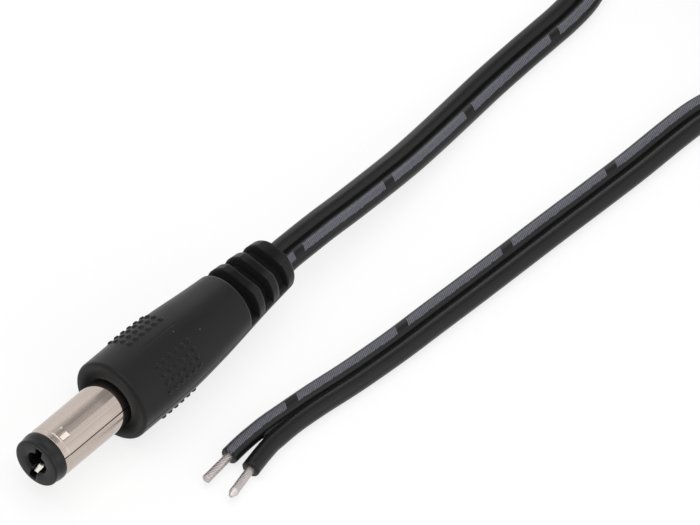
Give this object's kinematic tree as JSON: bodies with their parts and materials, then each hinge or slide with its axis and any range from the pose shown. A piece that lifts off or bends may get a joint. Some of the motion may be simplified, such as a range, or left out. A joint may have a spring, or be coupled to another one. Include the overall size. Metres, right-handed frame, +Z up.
{
  "type": "dc barrel plug lead",
  "caption": "Straight round dc power plug with metal barrel, slotted moulded strain relief and a flat two-core lead with tinned ends.",
  "frame": {"origin": "on the surface under the middle of the plug's length", "axes": "+X along the plug from its nose to its lead, +Z up"},
  "size_m": [0.151, 0.0494, 0.0091],
  "materials": {
    "nickel_barrel": "bright nickel plate",
    "nose_plastic": "satin moulded",
    "spring_contact": "bright plated spring sheet",
    "inner_plastic": "natural moulded",
    "solder": "bright solder",
    "tinned_copper": "tinned strands",
    "handle_moulding": "fine matt soft moulding",
    "cord_jacket": "satin flexible jacket",
    "tie_plastic": "satin strip"
  },
  "bodies": {
    "root": {"outer_sleeve": "nickel_barrel", "tip_insulator": "nose_plastic", "centre_contact": "spring_contact", "rear_bush": "inner_plastic", "sleeve_tag": "nickel_barrel", "solder_centre": "solder", "solder_sleeve": "solder", "conductor_marked": "tinned_copper", "conductor_plain": "tinned_copper", "cord_in_plug": "cord_jacket", "inner_mould": "inner_plastic", "handle": "handle_moulding", "cord_plug_run": "cord_jacket", "cord_coil": "cord_jacket", "coil_ties": "tie_plastic", "cord_free_run": "cord_jacket", "leg_marked": "cord_jacket", "leg_plain": "cord_jacket", "tinned_tip_marked": "tinned_copper", "tinned_tip_plain": "tinned_copper"}
  },
  "joints": []
}
